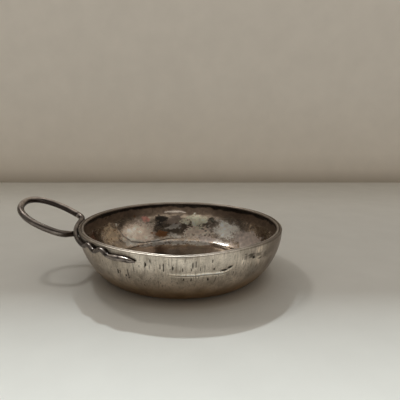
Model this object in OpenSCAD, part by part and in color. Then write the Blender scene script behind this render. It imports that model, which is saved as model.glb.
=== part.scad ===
// Tastevin: a shallow wine-tasting bowl beaten from silver sheet, a round wire soldered
// inside its lip, and one serpent of wire bent into the finger loop.
// Origin: middle of the flat bottom. +Z is up, the handle points to -X, the front is -Y.
// Lengths are in millimetres and angles in degrees.

/* [Bowl] */
// Outside diameter at the lip
rim_d = 80; // [72:1:92]
// Height from the table to the middle of the rounded lip
lip_h = 19.2; // [17:0.2:23]
// Thickness of the beaten sheet
sheet_t = 0.95; // [0.7:0.05:1.3]
// Outside radius of the turn between the flat bottom and the wall
corner_r = 6; // [4:0.5:8]
// Angle that this turn covers before the wall's own curve takes over
corner_turn = 43; // [36:1:48]

/* [Rim wire] */
// Diameter of the round wire that stiffens the inside of the lip
rim_wire_d = 1; // [0.7:0.05:1.4]

/* [Handle loop] */
// Diameter of the handle wire round the loop
wire_d = 2.6; // [2.2:0.1:3]
// Distance from the wall's wire to the far end of the loop
loop_reach = 24.2; // [20:0.2:28]
// Greatest width of the loop, between the middles of the wire
loop_w = 21.4; // [18:0.2:25]
// Distance between the two legs where they meet the bowl
loop_base_w = 14.4; // [12.5:0.5:16]
// Squareness of the loop's oval, where 2 is a plain ellipse
loop_square = 2.3; // [2:0.1:2.8]
// Angle at which the loop rises away from the bowl
loop_tilt = 19; // [8:1:28]
// Angle by which the front side of the loop hangs lower than the back side
loop_roll = 11; // [8:0.5:16]
// Distance by which the far end of the loop leans towards the back
loop_drift = 4.1; // [0:0.1:5]

/* [Handle arms] */
// Height of the back leg's bend above the middle of the lip
bend_rise = 0.4; // [0:0.1:0.8]
// Angle round the bowl from the handle to the start of the serpentine
wave_from_angle = 35; // [32:0.5:40]
// Angle covered by one full wave
wave_angle = 10.4; // [9.6:0.2:11.6]
// Number of full waves in each arm
wave_count = 2; // [1:1:3]
// Rise and fall of a wave on each side of its middle line
wave_amp = 0.85; // [0.4:0.05:1]
// Depth of the serpentine's middle line below the middle of the lip
wave_drop = 1.45; // [1.3:0.05:3]
// Angle covered by the straight end of each arm
end_angle = 13.6; // [10:0.2:16]
// Extra depth of an arm's tip below the last trough
tip_drop = 0.1; // [0:0.05:0.6]
// Wire diameter in the serpentine
neck_d = 1.5; // [1.2:0.1:1.8]
// Diameter of the serpent's head, at the front arm's end
head_d = 1.9; // [1.6:0.1:2.2]
// Diameter at the tips of both arms
tip_d = 0.6; // [0.4:0.1:0.9]

/* [Solder] */
// Gap between a soldered wire and the wall
seat_gap = 0.16; // [0.14:0.02:0.24]
// Clearance left on both faces of the solder
solder_clear = 0.03; // [0.02:0.005:0.04]
// Half width of the seam as a share of the wire's radius
solder_share = 0.75; // [0.6:0.05:0.85]
// Gap between the two legs where the front one passes under the back one
cross_gap = 0.4; // [0.3:0.05:0.6]

/* [Hidden] */
silver = [0.74, 0.71, 0.66];
worn_silver = [0.66, 0.62, 0.57];
tarnish = [0.38, 0.34, 0.30];

// Bowl: two tangent arcs, the corner's and the wall's, from the flat bottom to the lip
$fn = 120;
arc_steps = 14;
rim_r = rim_d / 2;
wall_arc = (lip_h - corner_r * (1 - cos(corner_turn))) / cos(corner_turn);
floor_r = rim_r - corner_r * sin(corner_turn) - wall_arc * (1 - sin(corner_turn));
corner_c = [floor_r, corner_r];
wall_c = [rim_r - wall_arc, lip_h];
rim_wire_r = rim_r - sheet_t - seat_gap / 4 - rim_wire_d / 2;

// Handle: counts of stations along the wire, and of sides round it
tube_sides = 10;
loop_steps = 34;
strap_steps = 14;
wave_steps = 9;
end_steps = 8;
smooth_passes = 2;
ring_r = rim_r + seat_gap + wire_d / 2;
wave_end = wave_from_angle + wave_angle * wave_count;
trough_z = -wave_drop - wave_amp;

// Points on an arc, with the angle counted from straight down towards +X
function arc_pts(c, r, from, to, first = 0) =
    [for (i = [first:arc_steps])
        let (a = from + (to - from) * i / arc_steps) c + r * [sin(a), -cos(a)]];

function reversed(list) = [for (i = [len(list) - 1:-1:0]) list[i]];

// One side of the sheet, from the bottom's edge up to the lip
function sheet_side(inset) = concat(
    arc_pts(corner_c, corner_r - inset, 0, corner_turn),
    arc_pts(wall_c, wall_arc - inset, corner_turn, 90, 1));

// Radius of the wall's outside and inside at a height given from the middle of the lip
function wall_r(z) = wall_c[0] + sqrt(pow(wall_arc, 2) - pow(min(z, 0), 2));
function inner_r(z) = wall_c[0] + sqrt(pow(wall_arc - sheet_t, 2) - pow(min(z, 0), 2));

// A point beside the wall. The angle a runs from the handle towards the front.
function by_wall(a, z, off) =
    let (r = wall_r(z) + off) [-r * cos(a), -r * sin(a), lip_h + z];

function power(x, e) = sign(x) * pow(abs(x), e);

// Wire diameter along an arm, from the loop's size down to the serpentine's
taper_lead_angle = 12;
taper_power = 1.6;
function strap_d(q) =
    let (t = (q + taper_lead_angle) / (wave_from_angle + taper_lead_angle))
    neck_d + (wire_d - neck_d) * pow(1 - t, taper_power);

// Wire diameter along the straight end, where t runs from the serpentine to the tip
head_swell = 0.3;
function head_end_d(t) = t < head_swell
    ? neck_d + (head_d - neck_d) * (1 - cos(180 * t / head_swell)) / 2
    : tip_d + (head_d - tip_d) * sqrt(max(0, 1 - pow((t - head_swell) / (1 - head_swell), 2)));
function tail_end_d(t) = neck_d + (tip_d - neck_d) * t;

// Depth along an arm: a strap that eases down from its root, the waves, the straight end
function strap_z(q, root_q, root_z) =
    trough_z + (root_z - trough_z) * pow((wave_from_angle - q) / (wave_from_angle - root_q), 2);
function wave_z(q) = -wave_drop - wave_amp * cos(360 * (q - wave_from_angle) / wave_angle);
end_arch = 0.42;
function end_z(t) = trough_z - tip_drop * t + end_arch * sin(180 * t);

// One station of the wire: where it is and how thick it is there
function station(side, q, z, d, lift = 0) = [by_wall(side * q, z, d / 2 + seat_gap + lift), d];

// The back leg's bend, and the place where the front leg dives under the back leg's strap
drift_turn = 1 / 3;
bend_y = (loop_base_w / 2 - loop_drift * drift_turn) * cos(loop_roll);
bend_lead_angle = 2.5;
bend_q = -asin(bend_y / ring_r) - bend_lead_angle;
cross_q = 4;
cross_z = strap_z(cross_q, bend_q, bend_rise)
    - (strap_d(cross_q) + strap_d(-cross_q)) / 2 - cross_gap;
cross_lift = 0.3;
cross_spread_angle = 8;
function lift_at(q) = cross_lift * exp(-pow((q - cross_q) / cross_spread_angle, 2));

// An arm from its tip to its root. The front arm (side 1) ends in the head.
function arm(side, root_q, root_z) = concat(
    [for (i = [end_steps:-1:1])
        let (t = i / end_steps, q = wave_end + end_angle * t)
        station(side, q, end_z(t), side > 0 ? head_end_d(t) : tail_end_d(t))],
    [for (i = [wave_steps * wave_count:-1:1])
        let (q = wave_from_angle + wave_angle * i / wave_steps)
        station(side, q, wave_z(q), neck_d)],
    [for (i = [0:strap_steps])
        let (q = wave_from_angle + (root_q - wave_from_angle) * i / strap_steps)
        station(side, q, strap_z(q, root_q, root_z), strap_d(q), side > 0 ? lift_at(q) : 0)]);

// The loop: a superellipse cut off where its width falls to the distance between the legs.
// It leans: its legs stand a little to the front of the middle and its far end to the back.
oval_cut = pow(1 - pow(loop_base_w / loop_w, loop_square), 1 / loop_square);
oval_half = loop_reach / (1 + oval_cut);
oval_from = acos(-pow(oval_cut, loop_square / 2));
loop_lift = 0.6;
loop_mid_z = (bend_rise + cross_z) / 2 + loop_lift;
function loop_pt(t) =
    let (v = oval_half * (oval_cut + power(cos(t), 2 / loop_square)),
         lean = loop_drift * (drift_turn - v / loop_reach),
         u = loop_w / 2 * power(sin(t), 2 / loop_square) + lean)
    [-ring_r - v * cos(loop_tilt),
     -u * cos(loop_roll),
     lip_h + loop_mid_z + v * sin(loop_tilt) - u * sin(loop_roll)];
loop_trim = 2;
loop_stations = [for (i = [loop_trim:loop_steps - loop_trim])
    [loop_pt(oval_from * (2 * i / loop_steps - 1)), wire_d]];

// The front leg's dive from the loop to the place where it passes under the strap
dive_angle = 4.5;
dive_out = 2.1;
dive_rise = 0.7;
dive = [for (t = [1, 0.5])
    station(1, cross_q + dive_angle * t, cross_z + dive_rise * t * t, strap_d(-cross_q), dive_out * t)];

// The whole wire from the head's tip to the tail's, eased at its bends
front_arm = arm(1, bend_q, bend_rise);
back_arm = arm(-1, -cross_q, cross_z);
function eased(list, passes) = passes == 0 ? list : eased(
    [for (i = [0:len(list) - 1])
        i == 0 || i == len(list) - 1 ? list[i]
        : [(list[i - 1][0] + 2 * list[i][0] + list[i + 1][0]) / 4, list[i][1]]],
    passes - 1);
wire = eased(concat(front_arm, loop_stations, dive, reversed(back_arm)), smooth_passes);

// Stations that each solder seam skips at an arm's tip, and the last one that it reaches
seam_skip = 2;
seam_last = end_steps + wave_steps * wave_count + 4;

function unit(v) = v / norm(v);
function tangent(path, i) =
    unit(path[min(i + 1, len(path) - 1)][0] - path[max(i - 1, 0)][0]);
function across(v, t) = unit(v - (v * t) * t);

// A side vector carried along the wire without twist
function side_vectors(path) =
    [for (i = 0, n = across([0, 0, 1], tangent(path, 0)); i < len(path);
          i = i + 1, n = i < len(path) ? across(n, tangent(path, i)) : n) n];

// Triangles of a tube made of rings with the same number of points, closed at both ends
function tube_faces(rings, sides) = concat(
    [for (i = [0:rings - 2], k = [0:sides - 1], half = [0, 1])
        let (a = i * sides + k, b = i * sides + (k + 1) % sides)
        half == 0 ? [a, a + sides, b] : [b, a + sides, b + sides]],
    [for (k = [1:sides - 2]) [0, k, k + 1]],
    [for (k = [1:sides - 2])
        let (last = (rings - 1) * sides) [last, last + k + 1, last + k]]);

module bowl() {
    color(silver)
    rotate_extrude()
    polygon(concat(
        [[0, 0]],
        sheet_side(0),
        arc_pts([rim_r - sheet_t / 2, lip_h], sheet_t / 2, 90, 270, 1),
        reversed(sheet_side(sheet_t)),
        [[0, sheet_t]]));
}

module rim_wire() {
    color(silver)
    rotate_extrude()
    translate([rim_wire_r, lip_h])
    circle(d = rim_wire_d, $fn = 24);
}

// The seam that fills the corner under the rim wire
module rim_solder() {
    seam_from = 25;
    seam_to = 80;
    seam_steps = 6;
    seam_drop = rim_wire_d * 0.7;
    wire_face = rim_wire_d / 2 + solder_clear / 2;
    seam_top = wire_face * sin(seam_from);
    color(tarnish)
    rotate_extrude()
    polygon(concat(
        [for (i = [0:seam_steps])
            let (a = seam_from + (seam_to - seam_from) * i / seam_steps)
            [rim_wire_r + wire_face * cos(a), lip_h - wire_face * sin(a)]],
        [for (z = [seam_drop, seam_top]) [inner_r(-z) - solder_clear / 2, lip_h - z]]));
}

module handle_wire() {
    sides_at = side_vectors(wire);
    points = [for (i = [0:len(wire) - 1], k = [0:tube_sides - 1])
        let (t = tangent(wire, i), n = sides_at[i], b = cross(t, n), a = 360 * k / tube_sides)
        wire[i][0] + wire[i][1] / 2 * (n * cos(a) + b * sin(a))];
    color(worn_silver)
    polyhedron(points, tube_faces(len(wire), tube_sides));
}

// A solder seam that fills the space between the wall and a run of stations of the wire
module solder_seam(first, last) {
    shares = [-1, -0.5, 0, 0.5, 1];
    section = len(shares) + 2;
    points = [for (i = [first:last])
        let (p = wire[i][0],
             z = p[2] - lip_h,
             out = unit([p[0], p[1], 0]),
             along = across(tangent(wire, i), out),
             up = cross(out, along),
             r = wire[i][1] / 2,
             half = r * solder_share,
             gap = norm([p[0], p[1]]) - wall_r(z),
             foot = p - gap * out)
        for (k = [0:section - 1])
            k < len(shares)
                ? let (x = half * shares[k])
                  foot + x * up + (gap - sqrt(r * r - x * x) - solder_clear) * out
                : foot + (k == len(shares) ? half : -half) * up + solder_clear * out];
    color(tarnish)
    polyhedron(points, tube_faces(last - first + 1, section));
}

module front_solder() {
    solder_seam(seam_skip, seam_last);
}

module back_solder() {
    solder_seam(len(wire) - 1 - seam_last, len(wire) - 1 - seam_skip);
}

bowl();
rim_wire();
rim_solder();
handle_wire();
front_solder();
back_solder();
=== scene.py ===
"""Tastevin in aged silver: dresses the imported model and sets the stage. Metres, +Z up, the handle at -X."""

from itertools import product
from math import acos, asin, copysign, cos, degrees, pi, radians, sin, sqrt

import bpy
import numpy as np
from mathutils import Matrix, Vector
from mathutils.kdtree import KDTree


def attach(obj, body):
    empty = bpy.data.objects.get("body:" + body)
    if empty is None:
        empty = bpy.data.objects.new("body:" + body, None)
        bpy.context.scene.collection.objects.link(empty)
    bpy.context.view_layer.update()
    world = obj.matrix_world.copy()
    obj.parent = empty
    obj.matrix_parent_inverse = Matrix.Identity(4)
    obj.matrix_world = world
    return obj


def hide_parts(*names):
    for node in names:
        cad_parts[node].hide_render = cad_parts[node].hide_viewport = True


MM, TINY, FULL_TURN = 0.001, 1e-9, 2 * pi
UP, FLAT = np.array([0.0, 0.0, 1.0]), np.array([1.0, 1.0, 0.0])

# Sizes of the bowl, in millimetres. Bearings are in degrees from +X, seen from above
RIM_R, LIP_H, SHEET = 40.0, 19.2, 0.95
CORNER_R, CORNER_TURN = 6.0, radians(43)
WALL_ARC = (LIP_H - CORNER_R * (1 - cos(CORNER_TURN))) / cos(CORNER_TURN)
FLOOR_R = RIM_R - CORNER_R * sin(CORNER_TURN) - WALL_ARC * (1 - sin(CORNER_TURN))
RIM_WIRE_D, SEAT_GAP = 1.0, 0.16
RIM_WIRE_R = RIM_R - SHEET - SEAT_GAP / 4 - RIM_WIRE_D / 2

# Sizes of the handle. The angles along its arms are in degrees from the handle's middle
WIRE_D, NECK_D, HEAD_D, TIP_D = 2.6, 1.5, 1.9, 0.6
LOOP_REACH, LOOP_W, LOOP_BASE_W, LOOP_SQUARE = 24.2, 21.4, 14.4, 2.3
LOOP_TILT, LOOP_ROLL, LOOP_DRIFT = radians(19), radians(11), 4.1
DRIFT_TURN, LOOP_LIFT = 1 / 3, 0.6
BEND_RISE, BEND_LEAD = 0.4, 2.5
WAVE_START, WAVE_PITCH, WAVE_COUNT, WAVE_AMP, WAVE_DROP = 35.0, 10.4, 2, 0.85, 1.45
END_SWEEP, TIP_DROP, END_ARCH = 13.6, 0.1, 0.42
CROSS_Q, CROSS_GAP, CROSS_LIFT, CROSS_SPREAD = 4.0, 0.4, 0.3, 8.0
DIVE_TURN, DIVE_OUT, DIVE_RISE, DIVE_STEPS = 4.5, 2.1, 0.7, (1, 0.5)
TAPER_LEAD, TAPER_POWER, HEAD_SWELL = 12.0, 1.6, 0.3
RING_R = RIM_R + SEAT_GAP + WIRE_D / 2
WAVE_END = WAVE_START + WAVE_PITCH * WAVE_COUNT
TROUGH_Z = -WAVE_DROP - WAVE_AMP


# Noise and helpers for arrays of points

CELL_PRIMES, SEED_PRIME, MIX_PRIME = np.array([374761393, 668265263, 2147483647]), 974711, 1274126177
WORD, LOW_BITS, HIGH_SHIFT, LOW_SHIFT = 0xFFFFFFFF, 0xFFFFFF, 13, 16
OCTAVE_SEED = 17


def lattice(cells, seed):
    """Repeatable numbers in 0..1 for whole-number cells of shape (n, 3)."""
    h = ((cells * CELL_PRIMES).sum(1) + seed * SEED_PRIME) & WORD
    h = ((h ^ (h >> HIGH_SHIFT)) * MIX_PRIME) & WORD
    h ^= h >> LOW_SHIFT
    return (h & LOW_BITS) / LOW_BITS


def noise(p, size, seed):
    """Smooth noise in -1..1 with features of about that size, at points p of shape (n, 3)."""
    q = p / size
    cell = np.floor(q).astype(np.int64)
    f = q - cell
    f = f * f * (3 - 2 * f)
    total = np.zeros(len(p))
    for corner in product((0, 1), repeat=3):
        weight = np.ones(len(p))
        for axis, side in enumerate(corner):
            weight *= f[:, axis] if side else 1 - f[:, axis]
        total += weight * lattice(cell + np.array(corner), seed)
    return 2 * total - 1


def fractal(p, size, seed, octaves):
    """Noise in -1..1 with finer and fainter noise laid over it."""
    total = np.zeros(len(p))
    for k in range(octaves):
        total += 0.5**k * noise(p, size / 2**k, seed + OCTAVE_SEED * k)
    return total / (2 - 2.0 ** (1 - octaves))


def warped(p, size, reach, seed):
    """Points pushed about by noise, which turns an edge drawn through them ragged."""
    return p + reach * np.column_stack([fractal(p, size, seed + axis, 3) for axis in range(3)])


def smooth(x, low, high):
    """0 below low, 1 above high, and a smooth step between them."""
    t = np.clip((x - low) / (high - low), 0, 1)
    return t * t * (3 - 2 * t)


def bell(x, half):
    """1 at 0, and fading out on both sides over about twice the half width."""
    return np.exp(-((x / half) ** 2))


def unit(v):
    """Vectors of length 1 in the same directions."""
    return v / np.maximum(np.linalg.norm(v, axis=-1, keepdims=True), TINY)


def radius_of(p):
    """Distance of points from the bowl's axis."""
    return np.hypot(p[:, 0], p[:, 1])


def bearing_of(p):
    """Bearing of points in degrees."""
    return np.degrees(np.arctan2(p[:, 1], p[:, 0]))


def from_handle(p):
    """Degrees round the bowl from the handle, on either side."""
    return np.degrees(np.abs(np.arctan2(p[:, 1], -p[:, 0])))


def round_angles(count):
    """That many angles spread evenly round a circle."""
    return np.linspace(0, FULL_TURN, count, endpoint=False)


def kd_tree(points):
    """A tree that finds the nearest of these points."""
    tree = KDTree(len(points))
    for k, point in enumerate(points):
        tree.insert(point, k)
    tree.balance()
    return tree


# Mesh building


def add_object(name, data):
    """A new object in the scene."""
    made = bpy.data.objects.new(name, data)
    bpy.context.scene.collection.objects.link(made)
    return made


def grid_mesh(name, rings, closed=False):
    """A smooth mesh through rings of points, shape (rows, columns, 3), closed on itself or capped."""
    rows, cols = rings.shape[:2]
    row = np.arange(rows if closed else rows - 1)[:, None] * cols
    next_row = (row + cols) % (rows * cols)
    col = np.arange(cols)[None, :]
    next_col = (col + 1) % cols
    quads = np.stack([row + col, row + next_col, next_row + next_col, next_row + col], -1)
    faces = quads.reshape(-1, 4).tolist()
    verts = rings.reshape(-1, 3)
    if not closed:
        first, last = len(verts), len(verts) + 1
        verts = np.vstack([verts, rings[0].mean(0), rings[-1].mean(0)])
        base = (rows - 1) * cols
        faces += [((c + 1) % cols, c, first) for c in range(cols)]
        faces += [(base + c, base + (c + 1) % cols, last) for c in range(cols)]
    mesh = bpy.data.meshes.new(name)
    mesh.from_pydata((verts * MM).tolist(), [], faces)
    mesh.polygons.foreach_set("use_smooth", [True] * len(mesh.polygons))
    mesh.update()
    return add_object(name, mesh)


def add_layer(piece, name, values):
    """Stores one number or colour per vertex for the material to read."""
    kind, key = "FLOAT", "value"
    if values.ndim > 1:
        kind, key = "FLOAT_COLOR", "color"
        values = np.column_stack([values, np.ones(len(values))])
    made = piece.data.attributes.new(name, kind, "POINT")
    made.data.foreach_set(key, values.astype(np.float32).ravel())


def dress(piece, material, slot, *nodes):
    """The piece stands for these nodes of the model and takes that finish."""
    piece.data.materials.append(material)
    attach(piece, "root")
    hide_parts(*nodes)


# The bowl's form

# Columns of the mesh, its innermost radius, and its rows on the floor, corner, wall and lip
AROUND, CENTRE_R = 720, 0.02
OUTER_STEPS, INNER_STEPS, LIP_STEPS = (30, 26, 90), (46, 26, 84), 10
# The lip's unevenness in radius and height, with noise on a circle of radius 1, and its sag in front
WOBBLE_R, ROUND_NOISE = 0.16, (0.55, 5, 2)
WOBBLE_Z, LEVEL_NOISE = 0.12, (0.4, 8, 2)
LIP_SAG, SAG_AT, SAG_HALF = 0.55, -90.0, 20.0
# Heights over which it sets in, and radii over which it fades out along the handle
GRIP_Z, GRIP_R = (6.0, LIP_H), (43.0, 50.0)
# Share of the corner's radius up to which places inside lie on its arc
CORNER_SHARE = 0.7


def wobbled(points):
    """Points, shape (..., 3), moved with the hand-made lip, which is not quite round or level."""
    p = points.reshape(-1, 3)
    outward = unit(p * FLAT)
    grip = smooth(p[:, 2], *GRIP_Z) * (1 - smooth(radius_of(p), *GRIP_R))
    out = WOBBLE_R * fractal(outward, *ROUND_NOISE)
    rise = WOBBLE_Z * fractal(outward, *LEVEL_NOISE) - LIP_SAG * bell(bearing_of(p) - SAG_AT, SAG_HALF)
    moved = p + outward * (grip * out)[:, None] + UP * (grip * rise)[:, None]
    return moved.reshape(points.shape)


def wall_r(drop, inset=0.0):
    """Radius of the wall at a depth below the lip, at an inset from the outside."""
    return RIM_R - WALL_ARC + np.sqrt((WALL_ARC - inset) ** 2 - np.maximum(drop, 0) ** 2)


def at_bearing(bearing, r, z):
    """The point with that bearing, radius and height."""
    a = radians(bearing)
    return np.array([r * cos(a), r * sin(a), z])


def outside_place(bearing, z):
    """A point on the outside of the wall."""
    return at_bearing(bearing, wall_r(LIP_H - z), z)


def inside_place(bearing, z):
    """A point on the inside of the wall or of the corner."""
    if z < CORNER_R * CORNER_SHARE:
        r = FLOOR_R + sqrt(max((CORNER_R - SHEET) ** 2 - (CORNER_R - z) ** 2, 0))
    else:
        r = wall_r(LIP_H - z, SHEET)
    return at_bearing(bearing, r, z)


def offsets(p, spot, bearing):
    """How far points p lie from a spot on the wall: sideways, outwards and up."""
    a = radians(bearing)
    off = p - spot
    sideways = off[:, 1] * cos(a) - off[:, 0] * sin(a)
    outwards = off[:, 0] * cos(a) + off[:, 1] * sin(a)
    return sideways, outwards, off[:, 2]


def profile(inset, floor_steps, corner_steps, wall_steps):
    """Radius, height and normal of one side of the sheet, from the middle of the floor to the lip."""
    rows = [(r, inset, 0.0, -1.0) for r in np.linspace(CENTRE_R, FLOOR_R, floor_steps, endpoint=False)]
    arcs = (
        (FLOOR_R, CORNER_R, CORNER_R, 0, CORNER_TURN, corner_steps),
        (RIM_R - WALL_ARC, LIP_H, WALL_ARC, CORNER_TURN, pi / 2, wall_steps),
    )
    for middle_r, middle_z, radius, start, end, steps in arcs:
        for a in np.linspace(start, end, steps, endpoint=False):
            s, c = sin(a), cos(a)
            rows.append((middle_r + (radius - inset) * s, middle_z - (radius - inset) * c, s, -c))
    return np.array(rows)


def lip():
    """The same for the rounded edge over the top of the sheet."""
    a = np.linspace(0, pi, LIP_STEPS)
    c, s = np.cos(a), np.sin(a)
    return np.column_stack([RIM_R - SHEET / 2 * (1 - c), LIP_H + SHEET / 2 * s, c, s])


def revolved(r, z):
    """Points, shape (rows, AROUND, 3), of a profile turned about the bowl's axis."""
    bearing = round_angles(AROUND)
    return np.stack([np.outer(r, np.cos(bearing)), np.outer(r, np.sin(bearing)),
                     np.repeat(z[:, None], AROUND, 1)], -1)


# Marks and dents

# Marks cut into the outside: bearing, height, length, half width, slant and depth 0..1
MARKS = [
    (-121.5, 11.6, 2, 0.35, 0.1, 1), (-120, 11.8, 1.5, 0.25, 0, 0.8),
    (-115.5, 11.7, 4, 0.18, 0.1, 0.8), (-117, 10.6, 1, 0.4, 0.1, 0.9),
    (-115.5, 10, 0.7, 0.4, 0.2, 0.8), (-109, 15.2, 1, 0.25, 0, 0.7),
    (-106, 16.2, 2.5, 0.2, 0.2, 1), (-105.5, 16.2, 1.5, 0.16, 0.1, 0.8),
    (-103.5, 17.6, 2, 0.22, -0.3, 1), (-104, 15.5, 2, 0.16, 0.1, 0.7),
    (-99, 15.8, 1.8, 0.2, 0.1, 0.9), (-97.5, 15.8, 3.2, 0.18, 0, 1),
    (-93.5, 15.6, 1.9, 0.2, 0, 0.8), (-91.5, 16.8, 3.5, 0.16, 0, 0.5),
    (-89, 15, 1.8, 0.2, 0, 0.8), (-84, 16.8, 3, 1.1, 0.2, 0.35),
    (-84.5, 16.6, 2.6, 0.18, 0.1, 0.8), (-83, 16.9, 2.4, 0.16, 0, 0.7),
    (-85, 14.9, 1.3, 0.22, 0, 0.8), (-81, 15.1, 1.8, 0.2, 0, 0.7),
    (-75.5, 17.4, 1.5, 0.2, 0.1, 0.9), (-74.5, 14.5, 1.1, 0.28, 0, 0.9),
    (-88.5, 11.2, 1, 0.28, 0.1, 0.9), (-85, 11, 1.4, 0.22, 0.1, 0.9),
    (-77, 10.7, 1.4, 0.3, -0.1, 1), (-94, 10.2, 1, 0.16, 0, 0.6),
    (-108, 7.7, 1, 0.3, 0, 0.5), (-64, 8.4, 0.4, 0.8, 0, 0.6),
    (-64, 11.7, 2, 0.2, 0.1, 0.7), (-69.5, 13.6, 0.6, 1.3, 0, 1),
    (-66.5, 14.3, 1.1, 0.8, 0.4, 1), (-58, 17.5, 0.7, 0.9, 0, 0.6),
    (-55.5, 17, 0.5, 1, 0, 0.7), (-52.5, 15.7, 1.2, 0.8, 0, 1),
    (-48, 14.8, 0.7, 1.4, 0, 0.6), (-54, 16.4, 1.8, 1.8, 0, 0.6),
    (-49, 16.2, 1.4, 2, 0, 0.55), (-58, 16.2, 1.4, 1.2, 0, 0.5),
    (-44, 15.6, 2.4, 1.6, 0, 0.45),
]
# Thin scratches strewn round the upper wall: limits of the same six numbers
SCRATCHES = ((-180, 180), (8, 18.5), (0.8, 4.0), (0.1, 0.2), (-0.3, 0.3), (0.25, 0.7))
SCRATCH_COUNT, SCRATCH_SEED = 380, 29
MARK_RAGGED, MARK_NOISE, MARK_ENDS, MARK_REACH = 0.35, (0.8, 31), (0.6, 1.15), 6.0
# A crease in the outside, as bearings and heights, with a groove and a ridge that lies above it
CREASE = np.array([
    (-97, 12.7), (-89, 12.5), (-84, 12.3), (-79, 12.5), (-74, 12.2), (-70, 12.0), (-67, 12.7), (-65, 13.6),
])
CREASE_WAVE, CREASE_NOISE = 0.12, (2.5, 41)
FADE_IN, FADE_OUT, CREASE_FROM = 5.0, 2.0, 6.0
GROOVE_HALF, RIDGE_AT, RIDGE_HALF = 0.2, 0.6, 0.4
# Broad dents in the outside: bearing, height, radius and depth
DENTS = [
    (-88.4, 18.6, 2.6, 0.22), (-55, 16.4, 2.2, 0.16), (-52, 15.6, 1.2, 0.2), (-58, 17, 1.6, 0.1),
    (-47, 16.8, 2, 0.14), (-100, 8, 4, 0.1), (-75, 8.5, 4.5, 0.1), (-126, 14.5, 3, 0.1),
]
# Beating of the sheet: depth, spacing and seed of the facets, and depth and noise of the slow unevenness
HAMMER_BLOWS, RIDGE_MOST = 4000, 1.2
OUTER_BEAT = 0.045, (4.2, 3), 0.05, (9, 21, 2)
INNER_BEAT = 0.07, (5, 13), 0.08, (8, 23, 2)
# Depth of the marks and the crease's groove, rise of its ridge, and the painted shade in the groove
MARK_DEPTH, GROOVE_DEPTH, RIDGE_RISE, GROOVE_SHADE = 0.1, 0.16, 0.15, 0.6
# Heights over which the relief sets in above the foot and fades out below the lip
FOOT_FADE, LIP_FADE, INNER_FADE = (0.0, 1.5), (LIP_H - 0.6, LIP_H), (LIP_H - 3.0, LIP_H - 0.8)
# The corner inside turns gently: how far it is filled, and over what reach
CORNER_FILL, FILL_REACH = 0.4, 3.0


def planish(p, spacing, seed):
    """Hammer facets: 0 in the middle of each, about 1 on the ridges between them."""
    rng = np.random.default_rng(seed)
    spots = p[rng.choice(len(p), size=HAMMER_BLOWS, replace=False)]
    tree = kd_tree(spots)
    facets = []
    taken = np.zeros(len(spots), dtype=bool)
    for k, spot in enumerate(spots):
        if not taken[k]:
            facets.append(spot)
            for _, index, _ in tree.find_range(spot, spacing):
                taken[index] = True
    nearest = kd_tree(facets)
    away = np.array([nearest.find(q)[2] for q in p])
    return np.clip(away / spacing, 0, RIDGE_MOST) ** 2


def beaten(p, depth, facets, roll, pattern):
    """Relief of the beaten sheet: hammer facets on a slow unevenness."""
    return depth * (planish(p, *facets) - 0.5) + roll * fractal(p, *pattern)


def mark_layer(p):
    """How strongly each point of the outside is cut by a mark or scratch, 0..1."""
    rng = np.random.default_rng(SCRATCH_SEED)
    scratches = [tuple(rng.uniform(*limits) for limits in SCRATCHES) for _ in range(SCRATCH_COUNT)]
    ragged = 1 + MARK_RAGGED * noise(p, *MARK_NOISE)
    cut = np.zeros(len(p))
    for bearing, z, length, half, slant, depth in MARKS + scratches:
        sideways, outwards, up = offsets(p, outside_place(bearing, z), bearing)
        along = up / (length / 2)
        across = (sideways - slant * along) / half
        hit = bell(across * ragged, 1.0) * (1 - smooth(np.abs(along * ragged), *MARK_ENDS))
        cut = np.maximum(cut, depth * hit * (np.abs(outwards) < MARK_REACH))
    return cut


def crease_layer(p):
    """Distance above the crease's line, and how far the crease is there."""
    bearing = bearing_of(p)
    first, last = CREASE[0, 0], CREASE[-1, 0]
    z = np.interp(bearing, CREASE[:, 0], CREASE[:, 1]) + CREASE_WAVE * noise(p, *CREASE_NOISE)
    there = smooth(bearing, first, first + FADE_IN)
    there *= 1 - smooth(bearing, last - FADE_OUT, last)
    return p[:, 2] - z, there * (p[:, 2] > CREASE_FROM)


def outside_shift(p):
    """How far the outside stands out at points p, and how dark its marks and the painted shade in the
    crease's groove are.
    """
    shift = beaten(p, *OUTER_BEAT)
    for bearing, z, radius, depth in DENTS:
        shift -= depth * bell(np.linalg.norm(p - outside_place(bearing, z), axis=1), radius)
    marks = mark_layer(p)
    above, there = crease_layer(p)
    groove = there * bell(above, GROOVE_HALF)
    ridge = there * bell(above - RIDGE_AT, RIDGE_HALF)
    shift += RIDGE_RISE * ridge - MARK_DEPTH * marks - GROOVE_DEPTH * groove
    shift *= smooth(p[:, 2], *FOOT_FADE) * (1 - smooth(p[:, 2], *LIP_FADE))
    # The crease's groove is painted dark as shade
    return shift, np.maximum(marks, GROOVE_SHADE * groove)


def inside_shift(p):
    """How far the inside stands in from the sheet's plain form at points p."""
    shift = beaten(p, *INNER_BEAT) * (1 - smooth(p[:, 2], *INNER_FADE))
    return shift + CORNER_FILL * bell(radius_of(p) - FLOOR_R, FILL_REACH)


# Stains and tints

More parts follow.
